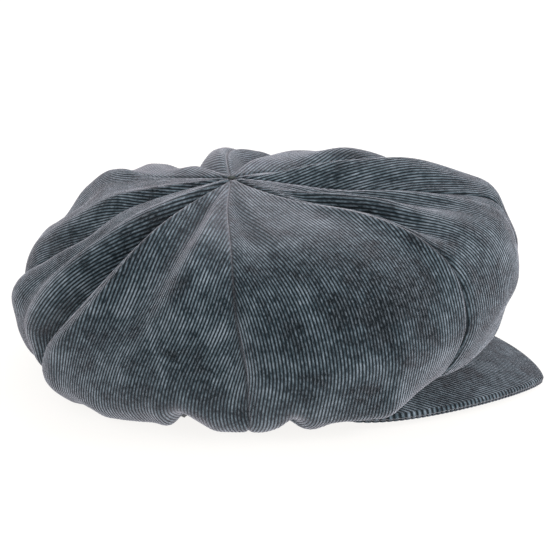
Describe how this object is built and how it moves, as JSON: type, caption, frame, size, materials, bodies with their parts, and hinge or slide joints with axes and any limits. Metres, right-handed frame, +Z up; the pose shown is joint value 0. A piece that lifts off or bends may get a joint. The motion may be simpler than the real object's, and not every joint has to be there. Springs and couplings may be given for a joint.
{
  "type": "newsboy cap",
  "caption": "Full, soft newsboy cap in blue-grey corduroy: sewn wedge panels drape over a head band with a short arched visor at the front.",
  "frame": {"origin": "under the middle of the head opening, on the surface the cap lies on, within 2 mm of the middle of the bounding box", "axes": "+X from the head opening toward the visor, +Z up through the crown, +Y to the wearer's left"},
  "size_m": [0.3059, 0.2537, 0.1157],
  "materials": {
    "corduroy": "fine-wale corduroy, blue grey, velvety sheen",
    "lining": "smooth satin lining",
    "sweatband": "ribbed cotton grosgrain",
    "interfacing": "stiff woven interfacing",
    "board": "matt flexible sheet",
    "label": "plain woven tape, blank",
    "thread": "spun sewing thread"
  },
  "bodies": {
    "cap": {"crown_panel_1": "corduroy", "crown_panel_2": "corduroy", "crown_panel_3": "corduroy", "crown_panel_4": "corduroy", "crown_panel_5": "corduroy", "crown_panel_6": "corduroy", "crown_panel_7": "corduroy", "crown_panel_8": "corduroy", "lining_panel_1": "lining", "lining_panel_2": "lining", "lining_panel_3": "lining", "lining_panel_4": "lining", "lining_panel_5": "lining", "lining_panel_6": "lining", "lining_panel_7": "lining", "lining_panel_8": "lining", "headband": "corduroy", "band_interfacing": "interfacing", "sweatband": "sweatband", "size_label": "label", "apex_tack": "thread", "visor_seam_stitches": "thread", "sweatband_stitches": "thread"},
    "visor": {"visor_top_cover": "corduroy", "visor_board": "board", "visor_under_cover": "corduroy"}
  },
  "joints": [
    {"name": "visor_tilt", "type": "hinge", "parent": "cap", "child": "visor", "pos_m": [0.08, 0, 0.017], "axis": [0, -1, 0], "range_deg": [-4, 10], "stiffness_Nm_per_rad": 0.9}
  ]
}
